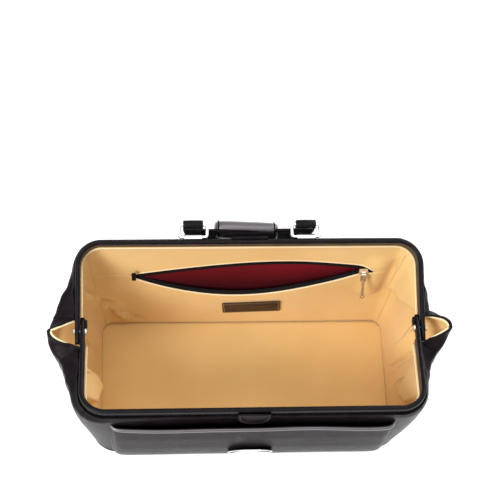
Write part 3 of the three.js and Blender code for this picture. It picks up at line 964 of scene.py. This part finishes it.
def wall_depth(x, z):
    """Depth of the back lining, before it sags, at places across and up it."""
    low, rim = lining_parts(1)[:2]
    column = np.argmin(np.abs(0.3 * low[:, :1] + 0.7 * rim[:, :1] - x), axis=0)
    t = (z - low[column, 2]) / (rim[column, 2] - low[column, 2])
    return low[column, 1] * (1 - t) + rim[column, 1] * t


def zip_edge(opening):
    """Points along one edge of the open zip, from its left end to the slider."""
    xs = np.linspace(zip_end[-1] + 5 * mm, zip_end[1] - 3 * mm, 70)
    upper, lower = back_lining_halves()
    line = upper[0] if opening > 0 else lower[-1]
    line = line[np.argsort(line[:, 0])]
    return np.stack([xs, *(np.interp(xs, line[:, 0], line[:, k]) for k in (1, 2))], axis=1)


def close_with_zip(piece_of_zip):
    """Gives a piece of the zip its own copy of its mesh."""
    x = (slider_low.x + slider_high.x) / 2
    anchor = (x, wall_depth([x], slider_z)[0], slider_z)
    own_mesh(piece_of_zip)


def build_zip_edges():
    """Tape, teeth and a pale welt, lightened as a painted highlight, along both edges of the open zip."""
    # Each edge's side of the opening, its width, and the directions across its tape and out of it.
    edges = {
        "upper": (1, 5.8 * mm, (0, -0.25, -0.97), (0, -0.97, 0.25)),
        "lower": (-1, 5.2 * mm, (0, 0.80, 0.60), (0, -0.60, 0.80)),
    }
    for word, (opening, width, across, out) in edges.items():
        edge = zip_edge(opening)
        across, out = np.array(across), np.array(out)
        path = edge + out * 0.6 * mm + across * (width / 2 - 1.0 * mm)
        section = rounded_section(width, 1.0 * mm, 0.4 * mm)
        band = sweep(f"zip_tape_{word}", path, section, across, out, tape)
        tooth_line = path + across * (width / 2 - 0.3 * mm)
        teeth = stitches(f"zip_teeth_{word}", tooth_line[2:-2], out, smooth_black,
                         spacing=1.7 * mm, length=1.1 * mm, width=2.0 * mm)
        welt = tube(f"zip_welt_{word}", edge - across * 1.2 * mm + out * 0.4 * mm, 1.2 * mm, pale_edge_and_highlight)
        for part, stands_for in ((band, [f"zip_edge_{word}"]), (teeth, ()), (welt, ())):
            ride(part, "bag", stands_for)
            close_with_zip(part)


def pouch_sheet(name, depth, top, bottom, ripple, material):
    """A sheet at a depth behind the wall, from top above the opening to bottom below its middle."""
    xs = np.linspace(zip_end[-1] + 2 * mm, zip_end[1] - 2 * mm, 60)
    share = np.linspace(0, 1, 16)[:, None]
    fullness = np.sin(math.pi * zip_share(xs)) ** 0.5
    z = (zip_line(xs, 1) + top) * (1 - share) + (zip_line(xs, -1) - bottom * fullness) * share
    y = wall_depth(xs, z) + depth + ripple * np.sin(xs * 60 + share * 5) * fullness
    points = np.stack([np.broadcast_to(xs, z.shape), y, z], axis=2)
    return thicken(grid(name, points, material), 0.5 * mm)


def build_pouch():
    """The red pouch behind the open zip; its backing is lining cloth."""
    pouch = pouch_sheet("zip_pouch", 4.4 * mm, 0, 36 * mm, 0.3 * mm, burgundy)
    ride(pouch, "bag", ["pocket_bag"])
    close_with_zip(pouch)
    ride(pouch_sheet("zip_pouch_backing", 5.4 * mm, 2 * mm, 30 * mm, 0, beige), "bag")


def build_zip_stop():
    """A leather tab over the closed end of the zip."""
    x, z = zip_end[-1] + 6 * mm, zip_height[-1] + 7 * mm
    place = plane((x, wall_depth([x], z)[0] - 2.5 * mm, z), (1, 0, 0), (0, 0.1, 1))
    outline = rounded_section(5 * mm, 16 * mm, 1.2 * mm)
    ride(patch("zip_stop", outline, place, 1.4 * mm, smooth_black, groove=1.4 * mm), "bag")


build_zip_edges()
build_pouch()
build_zip_stop()


def build_label():
    """A blank leather label, sewn a little askew to the sagging lower half of the lining."""
    low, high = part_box("label_patch")
    middle = (low + high) / 2
    lower = back_lining_halves()[1]
    column = int(np.argmin(np.abs(lower[12, :, 0] - middle.x)))
    rows = lower[:, column]
    step = 8 * mm
    y, above = np.interp([middle.z, middle.z + step], rows[:, 2], rows[:, 1])
    up = unit(np.array([0, above - y, step]))
    turn = math.radians(4)
    across = np.array([math.cos(turn), 0, 0]) + math.sin(turn) * up
    upright = np.cross(np.cross([1.0, 0, 0], up), across)
    place = plane((middle.x, y - 1.6 * mm, middle.z), across, upright)
    outline = rounded_section(high.x - low.x, 30 * mm, 2 * mm)
    shape = outline, place, 1.0 * mm
    groove = 2.0 * mm
    ride(patch("inner_label", *shape, label_brown, groove), "bag", ["label_patch"])
    ride(patch_stitches("inner_label_stitches", *shape, gold_thread, groove, 2.6 * mm), "bag")


build_label()

# ---- handle ----

grip_low, grip_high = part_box("handle_grip")
ring_low, ring_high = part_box("ring_right")
ring_x = (ring_low.x + ring_high.x) / 2
strap_width = 22 * mm
strap_thickness = 4 * mm


def handle_line():
    """The strap's middle line and its sideways directions: down, round under the grip and up again."""
    drop = handle_axis.z - (grip_low.z + grip_high.z) / 2
    bend = 13 * mm
    half = [(ring_x, 2 * mm), (ring_x, -6 * mm)]
    half += [(ring_x - bend + bend * math.cos(a), -drop + bend - bend * math.sin(a))
             for a in np.linspace(0, math.pi / 2, 8)]
    half += [(30 * mm, -drop), (15 * mm, -drop), (0, -drop)]
    flat = np.array(half + [(-x, z) for x, z in half[::-1][1:]])
    tangent = unit(np.gradient(flat, axis=0))
    path = np.stack([flat[:, 0], np.full(len(flat), handle_axis.y), handle_axis.z + flat[:, 1]], axis=1)
    return path, np.stack([-tangent[:, 1], np.zeros(len(flat)), tangent[:, 0]], axis=1)


def build_handle():
    """The strap with four rows of stitches."""
    path, side = handle_line()
    out = np.array([0, 1, 0])
    section = rounded_section(strap_width, strap_thickness, 1.4 * mm)
    band = sweep("handle_band", path, section, side, out, black)
    ride(subdivide(band), "carry_handle", ["handle_strap"])
    margin = 2.5 * mm
    for inset, word in ((strap_width / 2 - margin, "outer"), (margin - strap_width / 2, "inner")):
        for face, face_word in ((-1, "front"), (1, "back")):
            line = path + side * inset + out * face * (strap_thickness / 2 + 0.05 * mm)
            name = f"handle_{word}_stitches_{face_word}"
            ride(stitches(name, line, (0, face, 0), black_thread), "carry_handle")


def build_handle_loops():
    """Each end of the strap turns round its ring's bar."""
    # Places along the bar and the loop's radius at each, in millimetres.
    profile = [(-11, 4.4), (-10.6, 4.85), (-10, 5), (0, 5.15), (10, 5), (10.6, 4.85), (11, 4.4)]
    for end, word in ends.items():
        rows = []
        for offset, radius in profile:
            r = radius * mm
            rows.append([(end * ring_x + offset * mm, handle_axis.y + r * math.cos(a),
                          handle_axis.z + r * math.sin(a)) for a in around(20)])
        sleeve = grid(f"handle_loop_{word}", np.array(rows), smooth_black, wrap_columns=True)
        ride(thicken(sleeve, 1.8 * mm, offset=-1), "carry_handle")


def soft_pad(name, length, width, depth, material):
    """An oval pad, pulled in at its ends, before it is filled."""
    rows = []
    for share in np.linspace(-1, 1, 25):
        close = (1 - abs(share) ** 7) ** 0.5 * 0.28 + 0.72
        rows.append([(share * length / 2, depth / 2 * close * math.sin(a), width / 2 * close * math.cos(a))
                     for a in around(28)])
    return skin(name, np.array(rows), material)


def fill(obj, voxel, pressure, cap, frames=20):
    """Swells a padded piece with cloth simulation and keeps the result, moving no point beyond cap."""
    view = bpy.context.view_layer
    remesh = obj.modifiers.new("even", "REMESH")
    remesh.mode = "VOXEL"
    remesh.voxel_size = voxel
    mesh = bpy.data.meshes.new_from_object(obj.evaluated_get(view.depsgraph))
    obj.modifiers.remove(remesh)
    obj.data = mesh
    start = np.array([v.co for v in mesh.vertices])
    filling = obj.modifiers.new("filling", "CLOTH")
    filling.settings.use_pressure = True
    filling.settings.uniform_pressure_force = pressure
    filling.settings.effector_weights.gravity = 0
    filling.settings.quality = 6
    for number in range(1, frames + 1):
        bpy.context.scene.frame_set(number)
    swollen = bpy.data.meshes.new_from_object(obj.evaluated_get(bpy.context.evaluated_depsgraph_get()))
    end = np.array([v.co for v in swollen.vertices])
    obj.modifiers.remove(filling)
    bpy.context.scene.frame_set(1)
    move = end - start
    length = np.linalg.norm(move, axis=1, keepdims=True)
    end = start + move * np.minimum(1, cap / (length + 1e-9))
    mesh.vertices.foreach_set("co", end.ravel())
    mesh.polygons.foreach_set("use_smooth", [True] * len(mesh.polygons))
    mesh.update()
    return obj


def build_grip():
    """The filled grip sits a little to the left and askew on its strap, as in the photo."""
    length, depth, width = grip_high - grip_low
    shift, askew = 2.5 * mm, math.radians(2.8)
    centre = (grip_low + grip_high) / 2 - Vector((shift, 0, 0))
    slack = 4 * mm
    pad = soft_pad("handle_pad", length - slack, width - slack, depth - slack, gloss_and_highlight_black)
    fill(pad, 3.5 * mm, 4.0, 5 * mm)
    pad.data.transform(Matrix.Translation(centre) @ Matrix.Rotation(-askew, 4, "Z"))
    ride(subdivide(pad), "carry_handle", ["handle_grip"])
    inset = 2.6 * mm
    out, up = depth / 2 - inset, width / 2 - inset
    for end, word in ends.items():
        x = centre.x + end * (length / 2 - 7 * mm)
        y = centre.y - math.sin(askew) * x
        ring = np.array([(x, y + out * math.sin(a), centre.z + up * math.cos(a)) for a in around(30)])
        ride(tube(f"grip_{word}_piping", ring, 0.9 * mm, smooth_black, closed=True), "carry_handle")
        ring[:, 0] -= end * 3 * mm
        line = np.vstack([ring, ring[:1]])
        ride(stitches(f"grip_{word}_stitches", line, (0, -0.7, 0.7), black_thread), "carry_handle")


build_handle()
build_handle_loops()
build_grip()

# ---- closing strap ----


def build_closing_strap():
    """Sewn to the rear bar; it lies down the back and its foot carries the hasp."""
    low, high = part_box("closing_strap")
    width, thickness = high.x - low.x, 3 * mm
    half = rear_jaw.height / 2
    top, under = (rear_jaw.at(0, rear_jaw.reach + 0.3 * mm + thickness / 2, w) for w in (half, -half))
    foot_y = high.y - thickness / 2 - 1.4 * mm
    z = np.linspace(low.z, under[2] - 6 * mm, 60)
    y = np.maximum(foot_y, np.interp(z, *wall_profile(1)) + thickness / 2 + 0.4 * mm)
    path = np.vstack([np.stack([np.zeros(60), y, z], axis=1), [under], [(under + top) / 2], [top]])
    across = np.array([1, 0, 0])
    out = np.cross(unit(np.gradient(path, axis=0)), across)
    section = rounded_section(width, thickness, 1.1 * mm)
    follow(sweep("closing_strap_leather", path, section, across, out, black), ["closing_strap"])
    for end, word in ends.items():
        line = path + across * end * (width / 2 - 3 * mm) + out * (thickness / 2)
        follow(stitches(f"closing_strap_{word}_stitches", line, (0, 1, 0), black_thread))
    hasp_low, hasp_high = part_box("strap_hasp")
    outline = rounded_section(hasp_high.x - hasp_low.x, hasp_high.z - hasp_low.z, 5 * mm, 5)
    centre = (0, foot_y + thickness / 2, (hasp_low.z + hasp_high.z) / 2)
    place = plane(centre, (-1, 0, 0), (0, 0, 1))
    follow(patch("hasp_plate", outline, place, 1.8 * mm, nickel, groove=4 * mm), ["strap_hasp"])


build_closing_strap()

# ---- ears ----


def build_ear_edges():
    """A turned leather edge and a pale lining edge, lightened as a painted highlight, run round each ear's
    mouth.
    """
    for side, word in sides.items():
        outer = leather_surface(side)[-1]
        inner = lining_surface(side)[-1]
        for end, name in ends.items():
            from_tip = slice(None, None, -end)
            edge = outer[from_tip][:mouth_steps + 2][from_tip] + [0, 0, 0.3 * mm]
            follow(tube(f"{name}_ear_edge_{word}", edge, 1.3 * mm, smooth_black))
            hem = inner[from_tip][:mouth_steps - 2][from_tip] + [0, 0, 1.4 * mm]
            follow(tube(f"{name}_ear_hem_{word}", hem, 1.2 * mm, pale_edge_and_highlight))


build_ear_edges()

# ---- stage ----


def build_floor():
    """A pale floor that glows a little, so its corners stay white."""
    shader = Shader("floor", 0.7)
    shader.set("Emission Color", (1, 1, 1, 1))
    shader.set("Emission Strength", 0.3)
    shader.colour(shader.ramp(shader.noise(3, 2), [(0.4, (0.90, 0.90, 0.90)), (0.6, (0.94, 0.94, 0.94))]))
    size = 6.0
    points = [(-size, -size, 0), (size, -size, 0), (size, size, 0), (-size, size, 0)]
    mesh_object("floor", points, [(0, 1, 2, 3)], shader.material)


def build_world():
    """A white studio, brighter to the camera and in reflections than as a light on the bag."""
    world = bpy.data.worlds.new("studio")
    world.use_nodes = True
    tree = world.node_tree
    background = tree.nodes["Background"]
    background.inputs["Color"].default_value = (1, 1, 1, 1)
    ray = tree.nodes.new("ShaderNodeLightPath")
    seen = tree.nodes.new("ShaderNodeMath")
    seen.operation = "MAXIMUM"
    tree.links.new(ray.outputs["Is Camera Ray"], seen.inputs[0])
    tree.links.new(ray.outputs["Is Glossy Ray"], seen.inputs[1])
    strength = tree.nodes.new("ShaderNodeMapRange")
    strength.inputs["To Min"].default_value = 0.5
    strength.inputs["To Max"].default_value = 0.95
    tree.links.new(seen.outputs["Value"], strength.inputs["Value"])
    tree.links.new(strength.outputs["Result"], background.inputs["Strength"])
    bpy.context.scene.world = world


def soft_light(name, place, size, power):
    """A rectangular light that faces the middle of the bag."""
    data = bpy.data.lights.new(name, "AREA")
    data.shape = "RECTANGLE"
    data.size, data.size_y = size
    data.energy = power
    light = bpy.data.objects.new(name, data)
    light.location = place
    light.rotation_euler = (Vector((0, 0, 0.1)) - Vector(place)).to_track_quat("-Z", "Y").to_euler()
    bpy.context.scene.collection.objects.link(light)


def build_camera():
    """The photograph's viewpoint, fitted to the jaws, the base and the hinges."""
    place = (-0.097, -0.5816, 1.5743)
    swing, height, roll = math.radians(-8.3), math.radians(64.05), math.radians(7.1)
    focal_pixels, picture = 1404, 500
    level = Vector((-math.sin(swing), math.cos(swing), 0))
    forward = level * math.cos(height) - Vector((0, 0, math.sin(height)))
    right = Vector((math.cos(swing), math.sin(swing), 0))
    up = right.cross(forward)
    right, up = right * math.cos(roll) + up * math.sin(roll), up * math.cos(roll) - right * math.sin(roll)
    data = bpy.data.cameras.new("camera")
    data.sensor_width = 36
    data.lens = data.sensor_width * focal_pixels / picture
    camera = bpy.data.objects.new("camera", data)
    turn = Matrix((right, up, -forward)).transposed().to_4x4()
    camera.matrix_world = Matrix.Translation(place) @ turn
    bpy.context.scene.collection.objects.link(camera)
    bpy.context.scene.camera = camera


bpy.context.scene.view_settings.view_transform = "Standard"
build_floor()
build_world()
soft_light("key", (-1.1, -1.1, 1.4), (0.7, 0.7), 37)
soft_light("overhead", (0.0, -0.1, 2.2), (1.5, 1.5), 12)
soft_light("rim", (1.0, 1.0, 1.3), (0.9, 0.5), 18)
build_camera()


def paint(starts, material):
    """Gives a material to the CAD nodes that are seen as they are."""
    for name, node in nodes.items():
        if name.startswith(starts):
            node.data.materials.clear()
            node.data.materials.append(material)


paint(("foot_", "hinge_pin_", "ring_", "lock_", "zip_slider", "zip_pull"), nickel)
paint("base_board", millboard)
